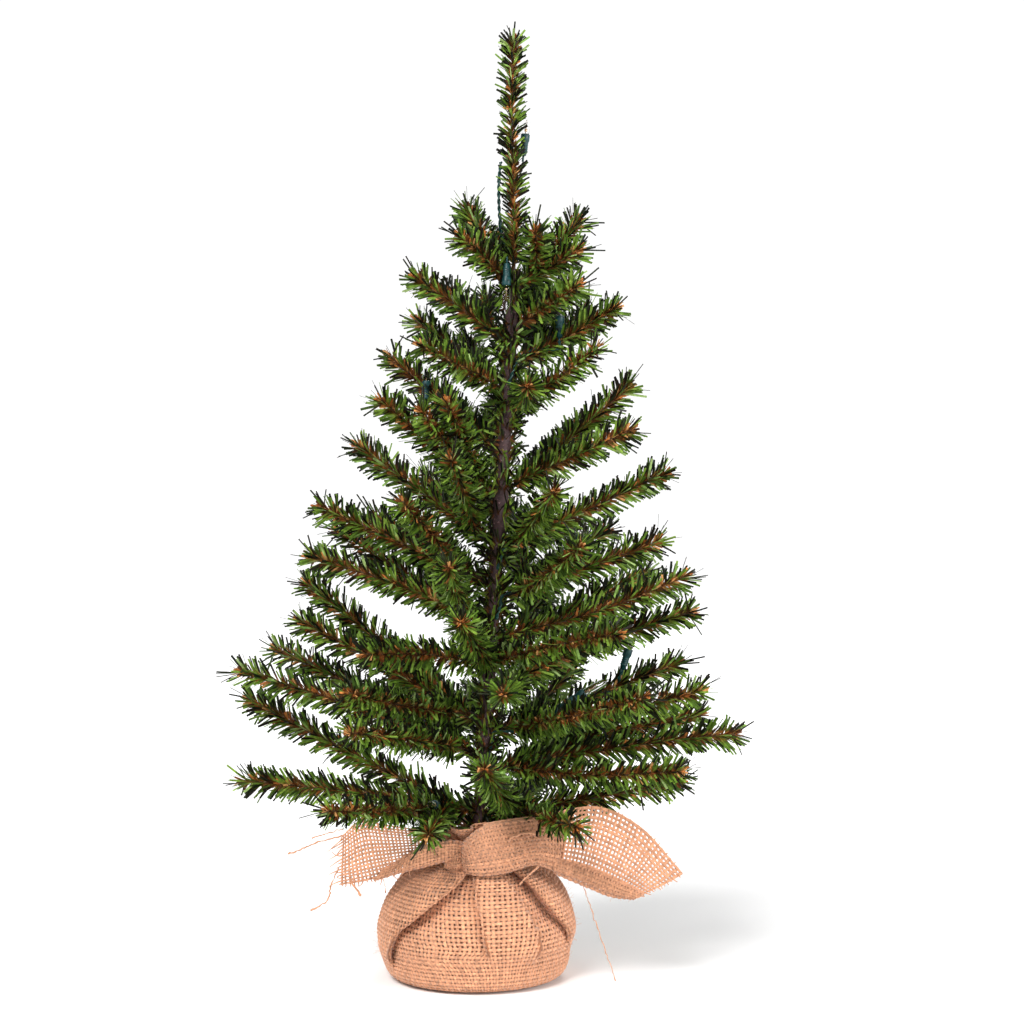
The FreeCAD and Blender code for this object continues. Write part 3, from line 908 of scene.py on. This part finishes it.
def sack_surface(azimuth, mark):
    """Points of the sack's cloth, by azimuth in radians and distance along its outline."""
    radius, height = np.moveaxis(along(OUTLINE, mark), -1, 0)
    level = height / MM
    narrow = np.clip(radius / OUTLINE[:, 0].max(), 0.32, 1.0)
    free = smoothstep((level - WEIGHT_CLEAR) / 18.0)
    out = np.zeros_like(radius)
    aside = np.zeros_like(radius)
    for path, side, tall, dip, over in SACK_FOLDS:
        heights, azimuths = np.array(path).T
        edge = np.radians(np.interp(level, heights, azimuths))
        apart = side * np.angle(np.exp(1j * (azimuth - edge))) * radius / narrow
        strength = smoothstep((level - heights[0]) / FOLD_RISE) * narrow
        upper = 0.5 + 0.5 * np.tanh(1.6 * apart / FOLD_EDGE)
        out += strength * tall * MM * upper * np.exp(-np.maximum(apart, 0.0) / FOLD_REACH)
        dipped = free * dip * (1.0 - upper) * np.exp(np.minimum(apart, 0.0) / DIP_REACH)
        out -= strength * dipped * MM
        share = apart / FOLD_EDGE
        aside -= side * strength * over * MM * share * np.exp(0.5 - 0.5 * share**2)
    left = OUTLINE_MARKS[-1] - mark
    above = smoothstep((GATHER_SPAN - left) / (0.6 * GATHER_SPAN))
    ruffle = smoothstep((RUFFLE_SPAN - left) / RUFFLE_SPAN)
    out += GATHER_DEPTH * above * np.cos(GATHERS * azimuth + 1.3 * np.sin(3.0 * azimuth))
    out += RUFFLE_DEPTH * ruffle * np.cos(RUFFLES * azimuth + 0.8)
    out += 0.8 * MM * np.cos(3.0 * azimuth + 0.7) * smoothstep(height / (30.0 * MM))
    turn = azimuth + aside / np.maximum(radius, 12.0 * MM)
    lift = 1.5 * MM * ruffle * np.cos(5.0 * azimuth)
    return polar(radius + out, turn, height + lift)


def sack_crossings():
    """The crossings of the sack's yarns, evenly apart round each ring of the folded cloth."""
    marks = np.arange(0.0, OUTLINE_MARKS[-1], SACK_PITCH)
    fine = math.radians(PLAIN_FRONT) + np.linspace(0.0, TURN, 2000)
    rings = [sack_surface(fine, np.full(len(fine), mark)) for mark in marks]
    runs = [distances(ring) for ring in rings]
    widest = OUTLINE_MARKS[np.argmax(OUTLINE[:, 0])]
    middle = runs[np.searchsorted(marks, widest)][-1]
    columns = 2 * int(round(middle / SACK_PITCH / 2.0))
    share = np.arange(columns) / columns
    azimuths = []
    for mark, run in zip(marks, runs):
        # the cloth was cut square, so its yarns slant on the way round
        drift = YARN_SLANT * (mark - widest) / (58.0 * MM) * smoothstep(mark / (25.0 * MM))
        place = (share + drift * np.sin(4.0 * math.pi * share)) % 1.0
        azimuths.append(np.interp(place * run[-1], run, fine))
    azimuths = np.stack(azimuths, axis=1)
    return sack_surface(azimuths, np.broadcast_to(marks, azimuths.shape))


def add_weave(soup, crossings, fill, rng, closed=False, colour=SACK_TAN, shade=0.72):
    """Yarns woven over and under through a grid of crossings. fill is their share of the pitch,
    and shade is the painted shade that darkens each yarn where it passes under.
    """
    rows, columns = crossings.shape[:2]
    if closed:
        down = (np.roll(crossings, -1, axis=0) - np.roll(crossings, 1, axis=0)) / 2.0
    else:
        down = np.gradient(crossings, axis=0)
    over = np.gradient(crossings, axis=1)
    normal = unit(np.cross(down, over))
    parity = (-1.0) ** (np.arange(rows)[:, None] + np.arange(columns)[None])
    turn = TURN * (np.arange(YARN_SIDES) + 0.5) / YARN_SIDES
    for axis, run, across, rise in ((0, over, down, parity), (1, down, over, -parity)):
        own = (rows, 1) if axis == 0 else (1, columns)
        tangent = unit(run)
        side = unit(np.cross(tangent, normal))
        space = np.abs(np.sum(across * side, axis=-1))
        slub = 1.0 + 0.12 * rng.normal(size=own) + 0.08 * rng.normal(size=(rows, columns))
        wide = np.clip(fill * space * slub, YARN_LEAST, YARN_MOST)
        thick = np.minimum(YARN_THICKNESS, YARN_ROUNDNESS * wide)
        wander = np.broadcast_to(0.05 * space * rng.normal(size=own), (rows, columns))
        lift = (rise * YARN_LIFT * thick)[..., None]
        centre = crossings + normal * lift + side * wander[..., None]
        aside = side[:, :, None] * (wide[..., None] * np.cos(turn) * 0.5)[..., None]
        above = normal[:, :, None] * (thick[..., None] * np.sin(turn) * 0.5)[..., None]
        ring = centre[:, :, None] + (aside - above)
        tone = 1.0 + 0.07 * rng.normal(size=own) + 0.06 * rng.normal(size=(rows, columns))
        # painted shade: a yarn is darker where it passes under the crossing yarn
        tone = tone * np.where(rise > 0, 1.0, shade)
        colours = np.repeat((colour * tone[..., None])[:, :, None], YARN_SIDES, axis=2)
        if axis == 1:
            ring = ring.swapaxes(0, 1)
            colours = colours.swapaxes(0, 1)
        yarns, stations = ring.shape[:2]
        quads, caps = tube_faces(stations, YARN_SIDES, closed and axis == 1)
        starts = (np.arange(yarns) * stations * YARN_SIDES)[:, None, None]
        soup.add(ring, colours, quads[None] + starts, caps[None] + starts)


def build_sack():
    rng = seeded(200)
    crossings = sack_crossings()
    soup = Soup()
    add_weave(soup, crossings, SACK_FILL, rng, closed=True)
    return soup.piece("burlap_sack_cloth", BURLAP, "burlap", "burlap_sack"), crossings


def build_lining():
    """The second layer of cloth, coloured a darker brown than the yarns as painted shade, which
    shows dark through the weave.
    """
    turns = TURN * np.arange(LINING_SIDES) / LINING_SIDES
    marks = np.arange(0.0, OUTLINE_MARKS[-1] - 14.0 * MM, 1.6 * MM)
    points = sack_surface(*np.meshgrid(turns, marks))
    down = np.roll(points, -1, axis=1) - np.roll(points, 1, axis=1)
    normal = unit(np.cross(down, np.gradient(points, axis=0)))
    points = points - normal * LINING_DEPTH
    soup = Soup()
    soup.add(points, LINING_PAINTED_SHADE, *tube_faces(len(marks), LINING_SIDES))
    return soup.piece("burlap_sack_second_layer", LINING, "burlap")


# The strip tied round the neck, as stations along each part: a point on its top edge and the
# point across from it on its bottom edge, in millimetres.
SASH = (
    ((-7, -29, 88), (-7, -30, 78)),
    ((-8, -34, 91), (-8, -35, 75.5)),
    ((-4, -39, 97), (-4, -41, 74.5)),
    ((5, -43, 104), (5, -44, 74)),
    ((20, -43, 107), (20, -44, 76)),
    ((38, -40, 109), (37, -40, 80)),
    ((58, -35, 112), (52, -35, 75)),
)
KNOT_PUCKER = (
    ((-6, -33, 87), (-7, -34, 75)),
    ((-11, -38, 86), (-12, -38, 75)),
    ((-18, -35, 83), (-19, -34, 77)),
)
RIGHT_TAIL = (
    ((54, -34, 113), (50, -34, 74)),
    ((80, -30, 114), (68, -31, 66)),
    ((106, -28, 100), (86, -30, 58.5)),
    ((131, -26, 72), (100, -29, 56)),
)
# The right tail's lower edge, folded over in front of it.
HEM_FORWARD = np.array((0.0, 1.6, 0.0))
HEM = [
    [b - HEM_FORWARD + share * (np.array(t) - b) for share in (0.22, 0.0)] for t, b in RIGHT_TAIL
]
LEFT_SASH = (
    ((-5, -31, 91), (-6, -32, 80)),
    ((-16, -35, 94), (-16, -36, 82)),
    ((-34, -35, 90), (-34, -36, 77.5)),
    ((-46, -33, 83), (-50, -34, 73)),
    ((-58, -31, 76), (-64, -31, 68)),
)
LEFT_TAIL = (
    ((-22, -28, 98), (-22, -32, 84)),
    ((-57, -27, 103), (-51, -31, 74)),
    ((-73, -26, 105), (-66, -30, 69)),
    ((-84, -25, 96), (-85, -28, 65)),
)
NECK_BAND = (21.5, 5.5, 87.0)  # its radius, its rise to each side, and its height
SASH_SLANT = 0.2
SASH_DOUBLE = np.array((1.2, 2.8, 1.0)) * MM  # from the sash to the layer behind it


def loft(rng, stations, steps_along, steps_across, bulge, gathers, slant=0.0):
    """A grid of points on a strip of cloth through the stations, bulged forward between edges.

    bulge is its size at the two ends. gathers is the size of the creases at the two ends, and
    how closely they lie. slant is how far along, as a share of the strip, the cross yarns run
    on from edge to edge.
    """
    top, bottom = (curve_through(edge, 16) * MM for edge in zip(*stations))
    middle = distances((top + bottom) / 2.0)
    share = np.linspace(0.0, 1.0, steps_across)[None]
    places = np.linspace(0.0, 1.0, steps_along)[:, None]
    places = places + 4.0 * slant * places * (1.0 - places) * (share - 0.5)
    marks = places * middle[-1]
    top, bottom = (along(edge, marks, middle) for edge in (top, bottom))
    points = top * (1.0 - share)[..., None] + bottom * share[..., None]
    swell, wave = (a * (1.0 - places) + b * places for a, b in (bulge, gathers[:2]))
    crease = np.sin(share * gathers[2] + rng.random() * 6.0 + 1.5 * places)
    points[..., 1] -= (swell * np.sin(math.pi * share) + wave * crease) * MM
    return points


def build_strip():
    """The tied strip as one woven piece: a band round the neck, a sash over it and two tails."""
    rng = seeded(300)
    soup = Soup()

    def part(fill, *lofting, shade=0.72):
        grid = loft(rng, *lofting)
        add_weave(soup, grid, fill, rng, colour=STRIP_TAN, shade=shade)
        return grid

    sash = part(0.8, SASH, 37, 13, (5.5, 2.0), (0.5, 0.6, 9.0), SASH_SLANT)
    # towards the right it lies double
    add_weave(soup, sash[14:] + SASH_DOUBLE, 0.95, rng, colour=STRIP_TAN)
    right = part(0.6, RIGHT_TAIL, 30, 17, (1.5, 2.2), (0.4, 1.2, 5.0), shade=0.85)
    part(0.9, HEM, 30, 5, (2.0, 2.0), (0.2, 0.2, 3.0))
    part(0.85, LEFT_SASH, 27, 8, (4.0, 2.0), (0.8, 0.8, 8.0))
    part(0.9, KNOT_PUCKER, 10, 8, (2.0, 1.0), (1.4, 0.6, 11.0))
    left = part(0.6, LEFT_TAIL, 29, 16, (2.0, 2.0), (1.2, 1.8, 8.0), shade=0.8)
    # round the neck, bulged between its edges and creased by the gathers
    radius, rise, height = NECK_BAND
    turn = (TURN * np.arange(60) / 60)[:, None]
    share = np.linspace(-1.0, 1.0, 8)
    reach = radius + 2.2 * np.cos(1.4 * share) + 0.8 * np.cos(11.0 * turn)
    band = polar(reach, turn, height + rise * share + 1.2 * np.sin(turn)) * MM
    add_weave(soup, band, 0.9, rng, closed=True, colour=STRIP_TAN)
    strip = soup.piece("burlap_tied_strip", BURLAP, "burlap", "burlap_tie")
    return strip, (sash, right, left, band)


def add_frayed(soup, ends, before, length, rng):
    """Yarn ends that stick out past an edge, each in line from the crossing before it."""
    for tip, inner in zip(ends, before):
        reach = length * (0.5 + rng.random())
        sway = rng.normal(size=3) * 0.25
        share = np.linspace(0.0, 1.0, 5)[:, None]
        line = tip + (unit(tip - inner) + sway * share) * reach * share
        radius = 0.55 * MM * np.linspace(1.0, 0.45, 5)
        add_tube(soup, line, radius, YARN_SIDES, FRINGE_TAN * (0.9 + 0.2 * rng.random()))


# Loose threads, each as points in millimetres, with its radius.
THREADS = (
    (((-83, -24, 96), (-100, -25, 91.5), (-111, -26, 87), (-119, -26, 84)), 0.5),
    (((-84, -24, 100), (-95, -25, 97), (-104, -25, 94)), 0.35),
    (((-87, -27, 76), (-92, -27, 64), (-94, -27, 55), (-105, -27, 48)), 0.5),
    (((-80, -28, 70), (-77, -28, 64), (-73, -28, 58)), 0.75),
    (((-60, -30, 76), (-58, -30, 68), (-57, -30, 60)), 0.25),
    (((68, -31, 66), (72, -32, 54), (77, -32, 40), (84, -33, 20), (89, -33, 4)), 0.28),
    (((20, -49, 97), (29, -48, 101), (38, -46, 101)), 0.7),
    (((28, -44, 68), (34, -43, 74), (40, -40, 79)), 0.6),
)


def build_fringe(grids):
    """Frayed edges and loose threads of the strip."""
    rng = seeded(400)
    _, right, left, _ = grids
    soup = Soup()
    for ends, before, length in (
        (right[-1], right[-2], 2.2),
        (left[-1], left[-2], 6.0),
        (left[10:, -1], left[10:, -2], 4.0),
        (right[6:, 0], right[6:, 1], 1.2),
    ):
        add_frayed(soup, ends, before, length * MM, rng)
    for points, radius in THREADS:
        line = curve_through(np.array(points) * MM, 8)
        line[1:-1] += 0.25 * MM * rng.normal(size=line[1:-1].shape)
        swell = radius * MM * (1.0 + 0.18 * rng.normal(size=len(line)))
        swell[-2:] *= 1.5
        add_tube(soup, line, np.abs(swell), YARN_SIDES, FRINGE_TAN * 0.9)
    return soup.piece("burlap_fringe", BURLAP, "burlap")


def build_fuzz(grids):
    """Fine fibres that stand out of the yarns."""
    rng = seeded(500)
    soup = Soup()
    for grid, count in grids:
        flat = grid.reshape(-1, 3)
        index = rng.integers(0, len(flat), count)
        normal = unit(np.cross(np.gradient(grid, axis=0), np.gradient(grid, axis=1)))
        normal = normal.reshape(-1, 3)[index]
        away = flat[index] * (1.0, 1.0, 0.0)
        facing = np.sign(np.sum(normal * away, axis=1, keepdims=True))
        heading = unit(normal * facing * 0.45 + 0.7 * jitter(rng, count))
        colours = np.repeat((SACK_TAN * (0.9 + 0.3 * rng.random((count, 1))))[:, None], 3, axis=1)
        root = flat[index] + 0.8 * MM * jitter(rng, count)
        side = jitter(rng, count)
        length = (1.5 + 3.0 * rng.random(count)) * MM
        bend = 1.0 * MM * jitter(rng, count)
        add_strips(soup, root, heading, side, length, 0.13 * MM, bend, colours, 0.05 * MM)
    return soup.piece("burlap_fibres", BURLAP, "burlap", smooth=False)


SACK_CLOTH, SACK_GRID = build_sack()
SACK_INNER = build_lining()
STRIP_CLOTH, STRIP_GRIDS = build_strip()
FRINGE = build_fringe(STRIP_GRIDS)
FUZZ = build_fuzz([(SACK_GRID[:, 14:], 2200)] + [(g, 350) for g in STRIP_GRIDS])

# ---- light string ----

STRING_RADIUS = 0.62 * MM
STRING_OFFSET = 0.62 * MM
STRING_PITCH = 9.0 * MM
LOOSE_OFFSET = 2.6 * MM  # of a string wound along a branch, and the pitch of its winding
LOOSE_PITCH = 26.0 * MM
# The string's stops beside the trunk: height, azimuth and distance from the trunk's centre.
STRING_ROUTES = (
    (
        (98, 92, 6.4), (128, 78, 6.6), (170, 98, 6.6), (214, 80, 6.6), (258, 99, 6.6),
        (303, 80, 6.6), (348, 99, 6.6), (392, 81, 6.6), (432, 98, 6.8), (460, 118, 8.6),
        (484, 150, 9.4), (508, 172, 9.2), (524, 140, 10.2),
    ),
    ((438, 128, 6.6), (441, 165, 7.6), (444, 200, 7.8), (450, 232, 9.0)),
)
# Lamps out on the branches: the branch, which of its tips, how far along that tip, the offset
# of the lamp's foot from it, and the azimuth and elevation that the lamp points in.
BRANCH_LAMPS = (
    ("branch_05", 0, 30.0, (0, -3, 2), (75, 84)),
    ("branch_10", 0, 22.0, (0, -6, 4), (185, 25)),
    ("branch_08", 0, 60.0, (0, -5, -9), (80, 82)),
    ("branch_15", 2, 16.0, (4, -4, -6), (270, -78)),
    ("branch_23", 2, 30.0, (4, -3, 4), (262, 8)),
    ("branch_14", 2, 60.0, (0, 4, 5), (60, 30)),
    ("branch_19", 3, 60.0, (0, 4, 5), (130, 40)),
    ("branch_12", 3, 50.0, (0, 4, 4), (100, 45)),
)

CAD_LAMPS = {
    TRUNK: ("lamp_sockets", "lamp_bulbs"),
    "branch_20": ("branch_20_sockets", "branch_20_bulbs"),
}
LAMP_SOUPS = {name: (Soup(), Soup(), Soup()) for name in (TRUNK, *BRANCHES)}
# Profiles along a lamp, from its foot, as distances and radii in millimetres.
SOCKET_RIB = ((3.4, 2.5), (3.7, 2.25), (4.2, 2.25), (4.5, 2.5))
SOCKET_RIBS = [(place + 1.3 * k, radius) for k in range(4) for place, radius in SOCKET_RIB]
SOCKET_PROFILE = (
    (0.0, 1.3), (0.3, 1.75), (2.6, 2.1), (3.0, 2.45), *SOCKET_RIBS,
    (9.2, 2.5), (9.6, 2.9), (13.6, 2.9), (14.0, 2.75), (14.0, 2.0), (9.0, 1.9),
)
TAB_PROFILE = ((0.0, 0.3), (0.4, 0.62), (4.2, 0.62), (4.8, 0.25))
BULB_PROFILE = (
    (8.4, 1.2), (8.6, 1.75), (13.8, 1.8), (14.8, 2.35), (16.0, 2.5), (25.5, 2.5),
    (27.4, 2.2), (28.8, 1.5), (29.8, 0.7), (31.0, 0.35), (31.6, 0.1),
)
BEAD_PROFILE = ((0.0, 0.3), (0.5, 0.8), (1.6, 0.8), (2.1, 0.3))
LEAD_PROFILE = np.array(((9.6, 0.3), (14.0, 0.45), (18.0, 0.6), (22.0, 1.0)))


def add_lamp(body, foot, heading):
    """A mini lamp: a ribbed socket with its locking tab, a clear bulb, its leads and filament."""
    socket, glass, metal = LAMP_SOUPS[body]
    side = unit(np.cross(heading, UP + np.array((0.3, 0.1, 0.0))))
    add_turned(socket, foot, heading, SOCKET_PROFILE, 20)
    add_turned(socket, foot + heading * 8.6 * MM + side * 2.7 * MM, heading, TAB_PROFILE, 8)
    add_turned(glass, foot, heading, BULB_PROFILE, 20)
    for sign in (-1.0, 1.0):
        lead = LEAD_PROFILE[:, :1] * MM * heading + foot + side * sign * LEAD_PROFILE[:, 1:] * MM
        add_tube(metal, lead, 0.14 * MM, 5)
    add_turned(metal, foot + heading * 15.6 * MM, heading, BEAD_PROFILE, 8)
    turns = np.linspace(0.0, 1.0, 40)
    coil = foot + heading * (22.0 + 1.4 * np.sin(math.pi * turns))[:, None] * MM
    coil = coil + side * (2.0 * turns - 1.0)[:, None] * MM
    coil = coil + np.cross(heading, side) * 0.16 * MM * np.sin(60.0 * turns)[:, None]
    add_tube(metal, coil, 0.06 * MM, 4)
    # the two insulated wires that enter its foot
    down = np.array((-1.0, 1.5, 4.0))[:, None]
    for sign in (-1.0, 1.0):
        tail = foot - heading * down * MM + side * sign * (0.55 + 0.06 * down) * MM
        add_tube(socket, tail, 0.6 * MM, 6)


def cad_lamps(sockets, bulbs):
    """The foot and heading of each lamp in two CAD nodes."""
    lamps = []
    bulb_centres = [s.mean(axis=0) for s in solids_of(bulbs)]
    for solid in solids_of(sockets):
        centre = (solid.min(axis=0) + solid.max(axis=0)) / 2.0
        nearest = min(bulb_centres, key=lambda c: np.linalg.norm(c - centre))
        middle = solid.mean(axis=0)
        heading = unit(nearest - middle)
        foot = middle + heading * ((solid - middle) @ heading).min()
        lamps.append((foot, heading))
    return lamps


def beside_trunk(stop):
    height, azimuth, distance = stop
    return trunk_centre(height * MM) + heading_of(azimuth, 0.0) * distance * MM


def build_lamps():
    """All the lamps. Returns those on branches: the branch, its tip, the foot and the heading."""
    wired = []
    for name, nodes in CAD_LAMPS.items():
        for foot, heading in cad_lamps(*nodes):
            add_lamp(name, foot, heading)
            if name != TRUNK:
                gaps = [np.linalg.norm(path - foot, axis=1).min() for path in PATHS[name]]
                wired.append((name, np.argmin(gaps), foot, heading))
    for name, tip, distance, offset, aim in BRANCH_LAMPS:
        foot = along(PATHS[name][tip], np.array([distance * MM]))[0] + np.array(offset) * MM
        heading = unit(heading_of(*aim))
        add_lamp(name, foot, heading)
        wired.append((name, tip, foot, heading))
    for name, (socket, glass, metal) in LAMP_SOUPS.items():
        if socket.count:
            nodes = CAD_LAMPS.get(name, ())
            prefix = "" if name == TRUNK else name + "_"
            socket.piece(prefix + "lamp_socket_set", SOCKET, "socket", *nodes[:1], body=name)
            glass.piece(prefix + "lamp_bulb_set", GLASS, "bulb_glass", *nodes[1:], body=name)
            metal.piece(prefix + "lamp_filament_set", METAL, "bulb_glass", body=name)
    return wired


def build_strings(wired):
    """The trunk's string, and a twisted pair out along each branch to its lamps."""
    soup = Soup()
    for route in STRING_ROUTES:
        line = curve_through([beside_trunk(stop) for stop in route], 22)
        add_twist(soup, line, STRING_RADIUS, STRING_OFFSET, STRING_PITCH)
    soup.piece("light_string_wire", STRING, "string_wire", "light_wire")
    pairs = {}
    for k, (name, tip, foot, heading) in enumerate(wired):
        hinge = HINGES[name]
        path = PATHS[name][tip]
        reach = np.argmin(np.linalg.norm(path - foot, axis=1))
        stretch = path[4 : max(reach - 3, 6)]
        _, across, beside = carried_frame(stretch)
        turn = (distances(stretch) / LOOSE_PITCH * TURN + 1.7 * k)[:, None]
        loose = stretch + (across * np.cos(turn) + beside * np.sin(turn)) * LOOSE_OFFSET
        centre, outward = outward_at(hinge)
        aside = np.cross(outward, UP)
        line = (
            centre + aside * 6.4 * MM - UP * 14.0 * MM,
            centre + aside * 5.6 * MM + outward * 3.0 * MM - UP * 5.0 * MM,
            hinge + aside * 3.4 * MM + UP * 1.0 * MM,
            *loose[4::5],
            foot - heading * 7.0 * MM,
            foot - heading * 2.0 * MM,
        )
        pair = pairs.setdefault(name, Soup())
        add_twist(pair, curve_through(line, 9), STRING_RADIUS, STRING_OFFSET, STRING_PITCH)
    for name, pair in pairs.items():
        hinge = HINGES[name]
        _, outward = outward_at(hinge)
        piece = pair.piece(name + "_string_wire", STRING, "string_wire", body=None)
        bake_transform(piece)


build_strings(build_lamps())

# ---- new materials for the CAD pieces that stay ----

for node, made in (("base_weight", CEMENT), ("trunk_core_wires", STEEL)):
    for slot in NODES[node].material_slots:
        slot.material = made

# ---- stage ----


def light_world():
    """A white studio: full strength round the horizon, and dimmer overhead."""
    world = bpy.data.worlds.new("studio")
    world.use_nodes = True
    tree = world.node_tree
    heading = add_node(tree, "TexCoord", "Generated")
    height = add_node(tree, "SeparateXYZ", "Z", Vector=heading)
    dim = map_range(tree, height, WORLD_BAND, 2.0 * WORLD_BAND, WORLD_WHITE, WORLD_OVERHEAD)
    feed(tree, tree.nodes["Background"].inputs, Color=(1.0, 1.0, 1.0), Strength=dim)
    bpy.context.scene.world = world


def build_stage():
    half = FLOOR_SIZE / 2.0
    floor_mesh = bpy.data.meshes.new("floor")
    corners = [(-half, -half, 0.0), (half, -half, 0.0), (half, half, 0.0), (-half, half, 0.0)]
    floor_mesh.from_pydata(corners, [], [(0, 1, 2, 3)])
    floor_mesh.materials.append(floor_material())
    floor = placed("floor", floor_mesh)
    floor.location.z = CAD_BOX[0].z - FLOOR_DROP

    light_world()
    middle = (CAD_BOX[0] + CAD_BOX[1]) / 2.0
    for name, kind, place, size, power in (
        ("key", "SUN", (-1.2, -2.2, 3.0), math.radians(30.0), 3.5),
        ("fill", "AREA", (1.7, -1.3, 0.8), 1.2, 32.0),
        ("rim", "AREA", (0.6, 1.6, 1.6), 1.0, 16.0),
    ):
        data = bpy.data.lights.new(name, kind)
        data.energy = power
        if kind == "SUN":
            data.angle = size
        else:
            data.shape = "DISK"
            data.size = size
        lamp = placed(name, data)
        lamp.location = place
        lamp.rotation_euler = (middle - lamp.location).to_track_quat("-Z", "Y").to_euler()

    camera = placed("camera", bpy.data.cameras.new("camera"))
    camera.location = CAMERA_PLACE
    camera.rotation_euler = (math.radians(90.0 - CAMERA_PITCH), 0.0, 0.0)
    camera.data.lens = CAMERA_LENS
    camera.data.clip_end = 200.0
    bpy.context.scene.camera = camera
    bpy.context.scene.view_settings.view_transform = "Standard"


build_stage()
